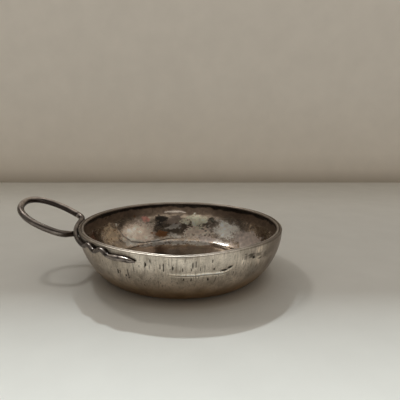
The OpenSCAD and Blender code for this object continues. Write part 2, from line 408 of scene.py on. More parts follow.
CREAM, PALE_GREY, BEIGE = (0.95, 0.9, 0.7), (0.95, 0.89, 0.8), (0.93, 0.78, 0.66)
LILAC, TAN, PINK = (0.66, 0.56, 0.51), (0.78, 0.62, 0.45), (0.8, 0.38, 0.32)
SLATE, UMBER, RUST = (0.6, 0.57, 0.53), (0.13, 0.1, 0.08), (0.2, 0.075, 0.016)
MOSS, SOOT = (0.06, 0.06, 0.045), (0.012, 0.01, 0.009)
WORN, CHALK = (0.92, 0.87, 0.81), (0.95, 0.88, 0.78)
DULL, SHEEN, BROWN = (0.3, 0.235, 0.195), (0.52, 0.46, 0.41), (0.28, 0.175, 0.08)
OUTER_TINT, SIDE_SHADE, LOW_TINT = (0.76, 0.68, 0.585), (0.25, 0.2, 0.165), (0.4, 0.25, 0.115)
INNER_TINT, UPPER_TINT, FLOOR_TINT = (0.4, 0.32, 0.25), (0.18, 0.13, 0.095), (0.21, 0.16, 0.12)
# Stains inside, the later on top: bearing, height, half width and height, colour, strength, how matt
STAINS = [
    (126, 6.8, 13, 6.8, BEIGE, 1, 0.4), (150, 8.8, 6.5, 4.4, TAN, 0.9, 0.6),
    (124, 12.4, 4.5, 1.6, DULL, 0.6, 0.6), (117, 12.5, 2.4, 1.7, PINK, 0.9, 0.9),
    (30, 6, 11, 5.4, LILAC, 0.9, 0.8), (95, 3.8, 6.5, 1.8, PALE_GREY, 0.75, 0.6),
    (74, 5.6, 9, 3.6, BEIGE, 0.95, 1), (95, 10.8, 5.2, 2.4, DULL, 0.9, 0.8),
    (95, 8, 4.6, 2, SLATE, 0.9, 0.7), (105, 10.4, 3.4, 3.5, SOOT, 0.95, 0.9),
    (107, 5, 3.8, 2.8, RUST, 0.95, 0.9), (109, 6.4, 2.2, 1.2, SOOT, 0.8, 0.9),
    (65, 11.2, 2.2, 1.2, MOSS, 0.9, 0.9), (53, 8, 8, 5, PALE_GREY, 0.95, 0.6),
    (36, 11.5, 5, 2.4, UMBER, 0.6, 0.6), (78, 11, 6.2, 3.6, CREAM, 1, 0.55),
    (69, 6.3, 0.7, 0.5, SOOT, 0.9, 0.8), (65, 5.2, 0.9, 0.6, SOOT, 0.9, 0.8),
    (61, 5.1, 0.6, 0.5, UMBER, 0.9, 0.8), (57, 4.1, 0.6, 0.5, SOOT, 0.8, 0.8),
    (71, 7.6, 0.6, 0.5, UMBER, 0.9, 0.8), (137, 3.2, 7, 1.6, CHALK, 1, 1),
    (62, 3.2, 8, 1.7, LILAC, 0.8, 0.7), (118, 1, 7.5, 2.6, SLATE, 0.9, 0.6),
    (95, 1, 7.5, 2.6, SLATE, 0.9, 0.6), (73, 1, 6.5, 2.6, SLATE, 0.9, 0.6),
    # The chalk spot at bearing 143 is a painted glint
    (143, 12.3, 0.9, 0.9, CHALK, 1, 1), (131, 7.2, 5, 3.2, CHALK, 0.8, 0.3),
    (50, 2.3, 4.5, 1.6, WORN, 1, 0), (70, 1.8, 1.6, 0.8, WORN, 0.9, 0),
]
# Small stains strewn under and over them: count, seed, limits of bearing, height and size, and colours
ALL_ROUND, STAIN_Z = (-180, 180), (2.5, 14.0)
STREWN_PALE = 220, 71, ALL_ROUND, STAIN_Z, (0.4, 2), (TAN, LILAC, DULL, SLATE, UMBER, UMBER)
STREWN_DARK = 60, 72, ALL_ROUND, STAIN_Z, (0.4, 1.4), (RUST, SOOT, MOSS)
STREWN_RUST = 45, 73, (143, 158), (6, 12), (0.25, 0.9), (RUST, RUST, UMBER)
STREWN_FLAT, STREWN_MOST, STREWN_MATT = 0.6, (0.2, 0.8), 0.7
# Ragged edges of the stains: coarse and fine noise, of which there are several kinds
STAIN_WARP, RAGGED_KINDS, RAGGED_REACH, STAIN_EDGE = (4.0, 1.4, 70), 5, 3.0, 0.4
COARSE_SIZE, COARSE_SEED, FINE_SIZE, FINE_SEED, FINE_SHARE = 2.4, 110, 0.7, 120, 0.6
# How far out a stain is worked out: a share of its size and a margin
STAIN_REACH, STAIN_MARGIN = 1.8, 1.5
# Dark lines of dried wine and a painted highlight line: bearings and heights, half width, colour, how matt
LINES = [
    (((142, 12), (141, 8.7), (140, 6.5), (135, 3.8), (125, 2.3), (112, 2.1), (100, 2.7), (86, 2.9)),
     0.4, SOOT, 0.8),
    (((99, 5.6), (95, 5.7), (91, 6.2), (87, 6)), 0.3, SOOT, 0.8),
    # A painted highlight along the upper wall
    (((102, 14.8), (96, 15), (90, 14.9), (86, 14.6)), 0.6, SHEEN, 0),
]
LINE_WARP, LINE_STEPS, LINE_TIP, LINE_MOST = (2.0, 0.3, 75), 30, 0.35, 0.95
# Tarnish inside: raggedness, noise and limits of the upper wall and the dark floor, and of the painted shadow
# under the rim wire
UPPER_EDGE, UPPER_MATT = (0.8, (5, 65, 3), (12.6, 14.4)), 0.5
FLOOR_EDGE = 0.6, (5, 68, 3), (24.0, 26.5)
RIM_SHADOW_EDGE, RIM_SHADOW_MOST = (1.1, (3.5, 66, 3), (17.0, 17.5)), 0.97
BLOTCHES, BLOTCH_SIZE, BLOTCH_SEED, BLOTCH_DETAIL = (INNER_TINT, UMBER, BROWN, UMBER), 9.0, 131, 5
BLOTCH_LIMITS, BLOTCH_MOST = (0.0, 0.35), 0.45
WALL_CLOUDY, FLOOR_CLOUDY, INNER_CLOUDS = 0.5, 0.15, (1.4, 61, 3)
DARKEST, PALEST = 0.008, 0.95
# Painted light on the lip: it is painted bright in front, less so at the back, and painted with shade at the
# dent
LIP_LIGHT_UNEVEN, LIP_LIGHT_NOISE, FRONT_LIGHT, REAR_LIGHT = 0.15, (6, 97, 3), (0.7, 1.02), (0.4, 0.9)
RIM_UNLIT, BACK_LIGHT, RIGHT_SHADE = 0.6, 0.6, 0.15
LIP_DENT, DENT_HALF, LIP_DENT_SHADE = -88.5, 9.0, 1.0
# Tints of the outside: raggedness, noise and limits of the painted shade on the sides and of the brown lower
# wall
SIDE_SHADE_EDGE, LOW_EDGE = (0.15, (8, 69, 3), (0.3, 0.92)), (1.5, (7, 67, 3), (1.0, 11.0))
# Cloudiness of the outside, and the painted highlight along the crease's ridge with its height above the
# crease
OUTER_CLOUDY, OUTER_CLOUDS, RIDGE_HIGHLIGHT, HIGHLIGHT_AT = 0.35, (3, 63, 5), 0.9, 0.5
# Painted highlights, where paler, and dark smears, where darker, on the outside: bearing, height, radius and
# how much paler
HIGHLIGHTS_AND_SMEARS = [
    (-49.3, 14.2, 1.3, 0.8), (-48.5, 18, 1.8, 0.6), (-59.5, 15.6, 1.1, 0.45), (-55, 17, 1.3, -0.5),
    (-39, 16.6, 2.4, -0.45), (-44, 13.4, 1.5, 0.4), (-52, 11.5, 3, -0.3),
]
PATCH_WARP = (1.6, 1.0, 76)
# Dirt and painted shade beside the arms: where it starts, and its reach below an arm, above it and above its
# end
GRIME_SHADE_FROM, GRIME_SHADE_BELOW, GRIME_SHADE_ABOVE, GRIME_SHADE_END = 13.0, 0.12, 1.5, 0.4
END_ANGLES, BESIDE_R = (WAVE_END - WAVE_PITCH / 2, WAVE_END), RING_R + 1
# Finish: roughness, and how much fine dirt the material adds
OUTER_ROUGH, INNER_ROUGH, STAIN_ROUGH = 0.38, 0.15, 0.45
LOW_GRAIN, INNER_GRAIN, GRAIN_Z = 0.4, 0.2, (4.0, 11.0)


def blend(tint, colour, weight):
    """Tints moved towards a colour by a weight for each."""
    return tint * (1 - weight[:, None]) + np.array(colour) * weight[:, None]


def ragged_step(p, x, ragged, pattern, limits):
    """A smooth step of the values x at points p, made ragged by noise."""
    return smooth(x + ragged * fractal(p, *pattern), *limits)


def strewn(count, seed, bearings, heights, sizes, colours):
    """Small stains strewn over a part of the wall, in the form of STAINS."""
    rng = np.random.default_rng(seed)
    return [(rng.uniform(*bearings), rng.uniform(*heights), rng.uniform(*sizes),
             STREWN_FLAT * rng.uniform(*sizes), colours[rng.integers(len(colours))],
             rng.uniform(*STREWN_MOST), STREWN_MATT) for _ in range(count)]


def stain_cover(q, ragged, bearing, z, wide, tall):
    """How much a stain covers at points q, which were pushed about for its ragged edge."""
    sideways, outwards, up = offsets(q, inside_place(bearing, z), bearing)
    away = np.sqrt((sideways / wide) ** 2 + (outwards**2 + up**2) / tall**2)
    return smooth(1.0 - away + ragged * min(1.0, RAGGED_REACH / tall), 0.0, STAIN_EDGE)


def line_cover(p, line, half):
    """How much of each point a line covers. It is widest in the middle."""
    bearing, z = np.array(line, float).T
    steps = np.linspace(0, len(line) - 1, LINE_STEPS * len(line))
    index = np.arange(len(line))
    spots = [inside_place(*at) for at in zip(np.interp(steps, index, bearing), np.interp(steps, index, z))]
    widths = half * (LINE_TIP + (1 - LINE_TIP) * np.sin(np.linspace(0, pi, len(spots))))
    away = np.min([((p - spot) ** 2).sum(1) / width**2 for spot, width in zip(spots, widths)], axis=0)
    return np.exp(-away)


def add_stains(tint, matt, p, q):
    """Lays stains and lines over the tints of the inside, and sets how matt it is."""
    ragged = []
    for k in range(RAGGED_KINDS):
        fine = fractal(q, FINE_SIZE, FINE_SEED + k, 2)
        ragged.append(fractal(q, COARSE_SIZE, COARSE_SEED + k, 3) + FINE_SHARE * fine)
    stains = strewn(*STREWN_PALE) + strewn(*STREWN_DARK) + STAINS + strewn(*STREWN_RUST)
    for k, (bearing, z, wide, tall, colour, strength, dull) in enumerate(stains):
        away = ((p - inside_place(bearing, z)) ** 2).sum(1)
        near = np.flatnonzero(away < (STAIN_REACH * max(wide, tall) + STAIN_MARGIN) ** 2)
        weight = strength * stain_cover(q[near], ragged[k % RAGGED_KINDS][near], bearing, z, wide, tall)
        tint[near] = blend(tint[near], colour, weight)
        matt[near] += (dull - matt[near]) * weight
    wavering = warped(p, *LINE_WARP)
    for line, half, colour, dull in LINES:
        weight = LINE_MOST * line_cover(wavering, line, half)
        tint[:] = blend(tint, colour, weight)
        matt += (dull - matt) * weight


def inside_look(p):
    """Colours of the inside and how matt it is: tarnish, painted shadow under the rim wire, stains and lines,
    among them a painted highlight and a painted glint.
    """
    upper = ragged_step(p, p[:, 2], *UPPER_EDGE)
    floor = 1 - ragged_step(p, radius_of(p), *FLOOR_EDGE)
    rim_shadow = ragged_step(p, p[:, 2], *RIM_SHADOW_EDGE)
    tint = np.tile(INNER_TINT, (len(p), 1))
    # The soot colour under the rim wire is painted shadow
    for colour, weight in ((UPPER_TINT, upper), (FLOOR_TINT, floor), (SOOT, RIM_SHADOW_MOST * rim_shadow)):
        tint = blend(tint, colour, weight)
    q = warped(p, *STAIN_WARP)
    for k, colour in enumerate(BLOTCHES):
        blotch = smooth(fractal(q, BLOTCH_SIZE, BLOTCH_SEED + k, BLOTCH_DETAIL), *BLOTCH_LIMITS)
        tint = blend(tint, colour, BLOTCH_MOST * floor * blotch)
    matt = UPPER_MATT * upper
    add_stains(tint, matt, p, q)
    cloudy = WALL_CLOUDY + (FLOOR_CLOUDY - WALL_CLOUDY) * floor
    tint *= np.exp(cloudy * fractal(p, *INNER_CLOUDS))[:, None]
    return np.clip(tint, DARKEST, PALEST), matt


def painted_lip_light(p):
    """Painted light on the lip: 1 in front, less at the back, 0 at the sides, and dimmed by painted shade at
    the dent.
    """
    front = -p[:, 1] / radius_of(p)
    uneven = LIP_LIGHT_UNEVEN * fractal(p, *LIP_LIGHT_NOISE)
    lit = np.maximum(smooth(front + uneven, *FRONT_LIGHT), BACK_LIGHT * smooth(uneven - front, *REAR_LIGHT))
    return lit * (1 - LIP_DENT_SHADE * bell(bearing_of(p) - LIP_DENT, DENT_HALF))


def outside_tint(p):
    """Colours of the outside: cloudy, browner towards the bottom, painted with shade on the sides, mostly the
    right one, with a painted highlight on the crease's ridge, and painted highlights and dark smears in
    patches.
    """
    front = (-p[:, 1] - RIGHT_SHADE * np.maximum(p[:, 0], 0)) / radius_of(p)
    # Painted shade on the sides and back, most on the right; the front is left bright
    bright = ragged_step(p, np.maximum(front, -BACK_LIGHT * front), *SIDE_SHADE_EDGE)
    tint = blend(np.tile(OUTER_TINT, (len(p), 1)), SIDE_SHADE, 1 - bright)
    tint = blend(tint, LOW_TINT, 1 - ragged_step(p, p[:, 2], *LOW_EDGE))
    above, there = crease_layer(p)
    paler = OUTER_CLOUDY * fractal(p, *OUTER_CLOUDS)
    # A painted highlight along the crease's ridge
    paler += RIDGE_HIGHLIGHT * there * bell(above - HIGHLIGHT_AT, RIDGE_HALF)
    q = warped(p, *PATCH_WARP)
    # Painted highlights where the lift is above 0, and dark smears where it is below
    for bearing, z, radius, lift in HIGHLIGHTS_AND_SMEARS:
        paler += lift * bell(np.linalg.norm(q - outside_place(bearing, z), axis=1), radius)
    return tint * np.exp(paler)[:, None]


def grime_and_shade_layer(p, stations):
    """Dirt and painted shade on the wall beside the arms, most of all between an arm and the lip."""
    path = finer(stations)
    beside = path[radius_of(path) < BESIDE_R]
    tree = kd_tree(beside[:, :3])
    above = GRIME_SHADE_ABOVE + (GRIME_SHADE_END - GRIME_SHADE_ABOVE) * smooth(from_handle(beside), *END_ANGLES)
    grime_and_shade = np.zeros(len(p))
    for k in np.flatnonzero(p[:, 2] > GRIME_SHADE_FROM):
        _, index, away = tree.find(p[k])
        gap = max(away - beside[index, 3] / 2, 0)
        grime_and_shade[k] = bell(gap, GRIME_SHADE_BELOW if p[k, 2] < beside[index, 2] else above[index])
    return grime_and_shade


def make_bowl(stations):
    """The sheet as one closed mesh, outside, lip and inside, with its relief, tints and finish."""
    outer = profile(0.0, *OUTER_STEPS)
    rim = lip()
    inner = profile(SHEET, *INNER_STEPS)[::-1].copy()
    inner[:, 2:] *= -1
    rows = np.vstack([outer, rim, inner])
    flat, normal = (revolved(rows[:, k], rows[:, k + 1]).reshape(-1, 3) for k in (0, 2))
    lip_first, lip_end = len(outer) * AROUND, (len(outer) + len(rim)) * AROUND
    out, edge, inn = slice(0, lip_first), slice(lip_first, lip_end), slice(lip_end, len(flat))

    shift, marks, matt = np.zeros((3, len(flat)))
    shift[out], marks[out] = outside_shift(flat[out])
    # Dirt and painted shade beside the arms are stored with the marks
    marks[out] = np.maximum(marks[out], grime_and_shade_layer(flat[out], stations))
    shift[inn] = inside_shift(flat[inn])
    moved = wobbled(flat + normal * shift[:, None])
    piece = grid_mesh("bowl_beaten", moved.reshape(len(rows), AROUND, 3))

    tint = outside_tint(flat)
    # The lip's colour carries painted light: brightest in front, less at the back, darkest at the sides and
    # at the dent
    tint[edge] *= (RIM_UNLIT + (1 - RIM_UNLIT) * painted_lip_light(flat[edge]))[:, None]
    tint[inn], matt[inn] = inside_look(flat[inn])
    grain = LOW_GRAIN + (1 - LOW_GRAIN) * smooth(flat[:, 2], *GRAIN_Z)
    grain[inn] = INNER_GRAIN
    rough = np.full(len(flat), OUTER_ROUGH)
    rough[inn] = INNER_ROUGH + (STAIN_ROUGH - INNER_ROUGH) * matt[inn]
    layers = {"tint": tint, "marks": marks, "matt": matt, "grain": grain, "rough": rough}
    for name, values in layers.items():
        # The two points in the middle of the floor take the values of their neighbours
        add_layer(piece, name, np.concatenate([values, values[[0, -1]]]))
    return piece


# Wires

END_STEPS, WAVE_STEPS, STRAP_STEPS, LOOP_STEPS, LOOP_TRIM = 8, 9, 14, 34, 2
SMOOTH_PASSES, FINER_STEPS, DOME_STEPS, DOME_SHARE, HANDLE_SIDES = 2, 4, 6, 0.97, 24


def strap_d(q):
    """Thickness of the strap, which tapers from the loop to the waves."""
    t = (q + TAPER_LEAD) / (WAVE_START + TAPER_LEAD)
    return NECK_D + (WIRE_D - NECK_D) * (1 - t) ** TAPER_POWER


def head_end_d(t):
    """Thickness along the serpent's head."""
    if t < HEAD_SWELL:
        return NECK_D + (HEAD_D - NECK_D) * (1 - cos(pi * t / HEAD_SWELL)) / 2
    return TIP_D + (HEAD_D - TIP_D) * sqrt(max(0, 1 - ((t - HEAD_SWELL) / (1 - HEAD_SWELL)) ** 2))


def tail_end_d(t):
    """Thickness along the serpent's tail."""
    return NECK_D + (TIP_D - NECK_D) * t


def strap_z(q, root_q, root_z):
    """Height of the strap from the lip."""
    return TROUGH_Z + (root_z - TROUGH_Z) * ((WAVE_START - q) / (WAVE_START - root_q)) ** 2


def wave_z(q):
    """Height of the waves from the lip."""
    return -WAVE_DROP - WAVE_AMP * cos(FULL_TURN * (q - WAVE_START) / WAVE_PITCH)


def end_z(t):
    """Height of the head or tail from the lip."""
    return TROUGH_Z - TIP_DROP * t + END_ARCH * sin(pi * t)


BEND_Y = (LOOP_BASE_W / 2 - LOOP_DRIFT * DRIFT_TURN) * cos(LOOP_ROLL)
BEND_Q = -degrees(asin(BEND_Y / RING_R)) - BEND_LEAD
CROSS_Z = strap_z(CROSS_Q, BEND_Q, BEND_RISE) - (strap_d(CROSS_Q) + strap_d(-CROSS_Q)) / 2 - CROSS_GAP


def station(side, q, z, d, lift=0.0):
    """A place along the wire beside the wall: x, y, z and diameter. The angle q runs from the handle."""
    a = radians(side * q)
    r = wall_r(-z) + d / 2 + SEAT_GAP + lift
    return (-r * cos(a), -r * sin(a), LIP_H + z, d)


def arm(side, root_q, root_z):
    """An arm from its tip to its root. The front arm (side 1) ends in the serpent's head."""
    end_d = head_end_d if side > 0 else tail_end_d
    rows = []
    for t in np.arange(END_STEPS, 0, -1) / END_STEPS:
        rows.append(station(side, WAVE_END + END_SWEEP * t, end_z(t), end_d(t)))
    for q in WAVE_START + WAVE_PITCH * np.arange(WAVE_STEPS * WAVE_COUNT, 0, -1) / WAVE_STEPS:
        rows.append(station(side, q, wave_z(q), NECK_D))
    for q in np.linspace(WAVE_START, root_q, STRAP_STEPS + 1):
        lift = CROSS_LIFT * bell(q - CROSS_Q, CROSS_SPREAD) if side > 0 else 0.0
        rows.append(station(side, q, strap_z(q, root_q, root_z), strap_d(q), lift))
    return rows


def loop():
    """The finger loop: a rounded oblong that leans and rolls, open towards the bowl."""
    cut = (1 - (LOOP_BASE_W / LOOP_W) ** LOOP_SQUARE) ** (1 / LOOP_SQUARE)
    half = LOOP_REACH / (1 + cut)
    start = acos(-(cut ** (LOOP_SQUARE / 2)))
    mid_z = (BEND_RISE + CROSS_Z) / 2 + LOOP_LIFT
    rows = []
    for i in range(LOOP_TRIM, LOOP_STEPS - LOOP_TRIM + 1):
        t = start * (2 * i / LOOP_STEPS - 1)
        c, s = (copysign(abs(x) ** (2 / LOOP_SQUARE), x) for x in (cos(t), sin(t)))
        v = half * (cut + c)
        u = LOOP_W / 2 * s + LOOP_DRIFT * (DRIFT_TURN - v / LOOP_REACH)
        z = LIP_H + mid_z + v * sin(LOOP_TILT) - u * sin(LOOP_ROLL)
        rows.append((-RING_R - v * cos(LOOP_TILT), -u * cos(LOOP_ROLL), z, WIRE_D))
    return rows


def handle_stations():
    """The whole wire from the serpent's head to its tail: x, y, z and diameter."""
    dive = [station(1, CROSS_Q + DIVE_TURN * t, CROSS_Z + DIVE_RISE * t * t, strap_d(-CROSS_Q), DIVE_OUT * t)
            for t in DIVE_STEPS]
    path = np.array(arm(1, BEND_Q, BEND_RISE) + loop() + dive + arm(-1, -CROSS_Q, CROSS_Z)[::-1])
    for _ in range(SMOOTH_PASSES):
        path[1:-1, :3] = (path[:-2, :3] + 2 * path[1:-1, :3] + path[2:, :3]) / 4
    return path


def finer(path):
    """More stations on a smooth curve through the given ones."""
    p = np.vstack([2 * path[0] - path[1], path, 2 * path[-1] - path[-2]])
    out = []
    for a, b, c, d in zip(p, p[1:], p[2:], p[3:]):
        for t in np.arange(FINER_STEPS) / FINER_STEPS:
            bend = (2 * a - 5 * b + 4 * c - d) * t**2 + (3 * b - a - 3 * c + d) * t**3
            out.append(b + ((c - a) * t + bend) / 2)
    out.append(path[-1])
    return np.array(out)


def dome(end, inner):
    """Stations that close a path's blunt end with a dome."""
    d = unit(end[:3] - inner[:3])
    angles = np.linspace(0, pi / 2 * DOME_SHARE, DOME_STEPS)[1:]
    return [np.append(end[:3] + d * end[3] / 2 * sin(a), end[3] * cos(a)) for a in angles]


def tube(path):
    """Rings of points round a path with diameters, and each point's direction from the middle."""
    mid = wobbled(path[:, :3])
    along = unit(np.gradient(mid, axis=0))
    sides = [UP]
    for t in along:
        # Carried from the last one, so that the tube has no twist
        sides.append(unit(sides[-1] - (sides[-1] @ t) * t))
    n = np.array(sides[1:])
    b = np.cross(along, n)
    a = round_angles(HANDLE_SIDES)
    ring = n[:, None, :] * np.cos(a)[None, :, None] + b[:, None, :] * np.sin(a)[None, :, None]
    return mid[:, None, :] + ring * (path[:, 3] / 2)[:, None, None], ring


# Wear, tarnishing and painted shade of the handle's wire
WORN_DEPTH, WORN_NOISE, PIT_DEPTH, PIT_NOISE = 0.02, (3, 33, 2), 0.012, (0.9, 35)
LOOP_R, BRIGHT_Y, WIRE_CLOUDS = (RING_R + 0.5, RING_R + 4), (-4, 6), (2.5, 57, 3)
# Cloudiness and limits of the painted shade on the side facing the loop's middle or the wall, and cloudiness
# of the tarnishing on the wire and straps
FACING_SHADE_CLOUDY, FACING_SHADE_LIMITS, WIRE_CLOUDY, STRAP_CLOUDY = 0.25, (0.2, 0.85), 0.3, 0.6
# How dark the wire is in general, on the straps, with painted shade in the waves' troughs, and at its patchy
# ends
WIRE_DULL, STRAP_DULL, TROUGH_SHADE, END_DULL, END_PATCHY = 0.7, 0.66, 0.97, 0.35, 4.0
STRAP_ANGLES, CREST_Z, END_PATCHES = (24, 32), (0.2, 0.65), (1.4, 59, 3)
# Rim wire with its painted shade, and the seam under it: angles round the wire, top, mean depth and
# unevenness
RIM_SIDES, RIM_WAVE, RIM_NOISE, RIM_WIRE_SHADE = 16, 0.03, (4, 37), 0.35
SEAM_ANGLES, ARC_STEPS, DROP_STEPS, SEAM_SINK = (20, 85), 7, 5, 0.02
SEAM_TOP, SEAM_DEPTH, DEPTH_UNEVEN, DEPTH_NOISE = 0.25, 0.5, 0.35, (3, 45, 3)
# Seams of the arms: stations, seeds, half width as a share of the wire's, and places across the seam
FRONT_SEAM, BACK_SEAM, FRONT_SEED, BACK_SEED = slice(2, 31), slice(-31, -2), 51, 53
SEAM_SHARE, SEAM_UNEVEN, SEAM_SIZE, SEAM_UNDER = 0.92, 0.3, 2.0, 0.8
FACE_SHARES, BACK_SHARES = (-1.0, -0.8, -0.45, 0.0, 0.45, 0.8, 1.0), (0.6, -0.6)
INTO_WIRE, SEAM_EDGE, INTO_WALL = 0.04, 0.02, 0.05


def handle_tarnish(path, ring, flat):
    """How dark the wire is: painted shade on the side facing the loop's middle or the wall and in the waves'
    troughs, and tarnishing on the straps, in clouds and in patches.
    """
    r = radius_of(path)
    on_loop = smooth(r, *LOOP_R)[:, None]
    heart = path[r > LOOP_R[1], :3].mean(0)
    inward = unit(on_loop * (heart - path[:, :3]) - (1 - on_loop) * path[:, :3] * FLAT)
    facing = (ring * inward[:, None, :]).sum(-1)
    cloud = fractal(flat, *WIRE_CLOUDS).reshape(facing.shape)
    patches = fractal(flat, *END_PATCHES).reshape(facing.shape)
    at_end = smooth(from_handle(path), *END_ANGLES)[:, None]
    patchy = cloud + at_end * (END_PATCHY * patches - cloud)
    base = WIRE_DULL + (END_DULL - WIRE_DULL) * at_end
    dull = 1 - on_loop * smooth(path[:, 1], *BRIGHT_Y)[:, None]
    strap = (1 - on_loop) * (1 - smooth(from_handle(path), *STRAP_ANGLES))[:, None]
    crest = smooth(path[:, 2] - LIP_H - TROUGH_Z, *CREST_Z)[:, None] + WIRE_CLOUDY * cloud
    return np.maximum.reduce([
        # Painted shade on the side facing the loop's middle, and facing the wall on the arms
        smooth(facing + FACING_SHADE_CLOUDY * cloud, *FACING_SHADE_LIMITS),
        dull * np.clip(base + WIRE_CLOUDY * patchy, 0, 1),
        strap * np.clip(STRAP_DULL + STRAP_CLOUDY * cloud, 0, 1),
        # Painted shade in the waves' troughs, which leaves the crests bright
        (1 - on_loop) * (1 - at_end) * TROUGH_SHADE * np.clip(1 - crest, 0, 1),
    ])


def make_handle(stations):
    """The handle's wire, slightly worn and pitted, with its tarnish."""
    path = finer(stations)
    path = np.vstack([dome(path[0], path[1])[::-1], path, dome(path[-1], path[-2])])
    rings, ring = tube(path)
    flat = rings.reshape(-1, 3)
    worn = WORN_DEPTH * fractal(flat, *WORN_NOISE) + PIT_DEPTH * noise(flat, *PIT_NOISE)
    moved = flat + ring.reshape(-1, 3) * worn[:, None]
    piece = grid_mesh("handle_serpent", moved.reshape(rings.shape)[:, ::-1])
    tarnish = handle_tarnish(path, ring, flat)
    # The two tips are bright
    add_layer(piece, "tarnish", np.append(tarnish[:, ::-1], [0, 0]))
    return piece


def make_rim_wire():
    """The drawn wire inside the lip, painted with shade where the lip is painted unlit."""
    a = round_angles(RIM_SIDES)
    r, z = RIM_WIRE_R + RIM_WIRE_D / 2 * np.cos(a), LIP_H + RIM_WIRE_D / 2 * np.sin(a)
    rings = revolved(r, z).swapaxes(0, 1)
    flat = rings.reshape(-1, 3)
    moved = wobbled(flat) + UP * (RIM_WAVE * noise(flat, *RIM_NOISE))[:, None]
    piece = grid_mesh("rim_wire_drawn", moved.reshape(rings.shape), closed=True)
    # Painted shade on the rim wire where the lip is painted unlit
    add_layer(piece, "tarnish", RIM_WIRE_SHADE * (1 - painted_lip_light(flat)))
    return piece


def make_rim_solder():
    """The uneven seam under the rim wire: round the wire, then up the wall."""
    circle = revolved(np.ones(1), np.zeros(1))[0]
    depth = SEAM_DEPTH + DEPTH_UNEVEN * fractal(circle * RIM_WIRE_R, *DEPTH_NOISE)
    drop = np.outer(depth, np.linspace(1, 0, DROP_STEPS)) + SEAM_TOP
    a = np.radians(np.linspace(*SEAM_ANGLES, ARC_STEPS))
    wire_r = RIM_WIRE_D / 2 - SEAM_SINK
    wire_side = np.tile(RIM_WIRE_R + wire_r * np.cos(a), (AROUND, 1))
    wire_drop = np.tile(wire_r * np.sin(a), (AROUND, 1))
    r = np.hstack([wire_side, wall_r(drop, SHEET) + SEAM_SINK])
    z = LIP_H - np.hstack([wire_drop, drop])
    rings = circle[:, None, :] * r[:, :, None] + UP * z[:, :, None]
    return grid_mesh("rim_solder_seam", wobbled(rings), closed=True)


def make_seam(name, stations, seed):
    """Solder between the wall and one arm, with an uneven fillet on both sides."""
    path = finer(stations)
    p, wire_r = path[:, :3], path[:, 3] / 2
    out = unit(p * FLAT)
    along = unit(np.gradient(p, axis=0))
    up = np.cross(out, unit(along - (along * out).sum(1)[:, None] * out))
    wall = wall_r(LIP_H - p[:, 2])
    foot = out * wall[:, None] + p * UP
    gap = radius_of(p) - wall
    half = SEAM_SHARE * wire_r * (1 + SEAM_UNEVEN * fractal(p, SEAM_SIZE, seed, 2))
    rows = []
    for share in FACE_SHARES:
        x = half * share
        under = np.minimum(np.abs(x), SEAM_UNDER * wire_r)
        reach = gap - np.sqrt(wire_r**2 - under**2) + INTO_WIRE
        lift = np.where(abs(share) == 1.0, SEAM_EDGE, reach)
        rows.append(foot + up * x[:, None] + out * lift[:, None])
    for share in BACK_SHARES:
        rows.append(foot + up * (half * share)[:, None] - out * INTO_WALL)
    return grid_mesh(name, wobbled(np.stack(rows, 1)))


# Material nodes

# Numbers of the sockets that mix colours
MIX_FACTOR, MIX_FIRST, MIX_SECOND, MIX_RESULT = 0, 6, 7, 2


def new_material(name):
    """A material, its nodes and its shader."""
    material = bpy.data.materials.new(name)
    material.use_nodes = True
    tree = material.node_tree
    return material, tree, tree.nodes["Principled BSDF"]


def fill(target, inputs):
    """Sets a node's inputs, each to a constant or to another node's output."""
    for key, value in inputs.items():
        if isinstance(value, bpy.types.NodeSocket):
            target.id_data.links.new(value, target.inputs[key])
        else:
            target.inputs[key].default_value = value


def node(tree, kind, inputs, **settings):
    """A new node with those inputs and settings."""
    made = tree.nodes.new(kind)
    for key, value in settings.items():
        setattr(made, key, value)
    fill(made, inputs)
    return made


def coordinates(tree, kind="Object"):
    """Coordinates in metres in the object's own frame, or directions in the room."""
    return node(tree, "ShaderNodeTexCoord", {}).outputs[kind]


def layer(tree, name, output="Fac"):
    """Values stored on the mesh under that name."""
    return node(tree, "ShaderNodeAttribute", {}, attribute_name=name).outputs[output]


def noise_node(coords, scale, detail, stretch=(1, 1, 1)):
    """Noise at coordinates that are stretched first."""
    tree = coords.id_data
    mapping = node(tree, "ShaderNodeMapping", {"Vector": coords, "Scale": stretch})
    inputs = {"Vector": mapping.outputs["Vector"], "Scale": scale, "Detail": detail}
    return node(tree, "ShaderNodeTexNoise", inputs).outputs["Fac"]


def ramp(value, limits, results=(0, 1)):
    """A value changed evenly from one pair of limits to another, and kept within it."""
    keys = ("Value", "From Min", "From Max", "To Min", "To Max")
    inputs = dict(zip(keys, (value, *limits, *results)))
    return node(value.id_data, "ShaderNodeMapRange", inputs).outputs["Result"]


def mix_colour(share, first, second):
    """A mix of two colours, each a constant or a node's output."""
    first, second = ((*c, 1) if isinstance(c, tuple) else c for c in (first, second))
    inputs = {MIX_FACTOR: share, MIX_FIRST: first, MIX_SECOND: second}
    return node(share.id_data, "ShaderNodeMix", inputs, data_type="RGBA").outputs[MIX_RESULT]


def bump(height, strength, distance):
    """A normal that follows a height."""
    inputs = {"Height": height, "Strength": strength, "Distance": distance}
    return node(height.id_data, "ShaderNodeBump", inputs).outputs["Normal"]


def combine(operation, first, second):
    """Two values combined by a sum or another operation."""
    return node(first.id_data, "ShaderNodeMath", {0: first, 1: second}, operation=operation).outputs[0]


# Materials

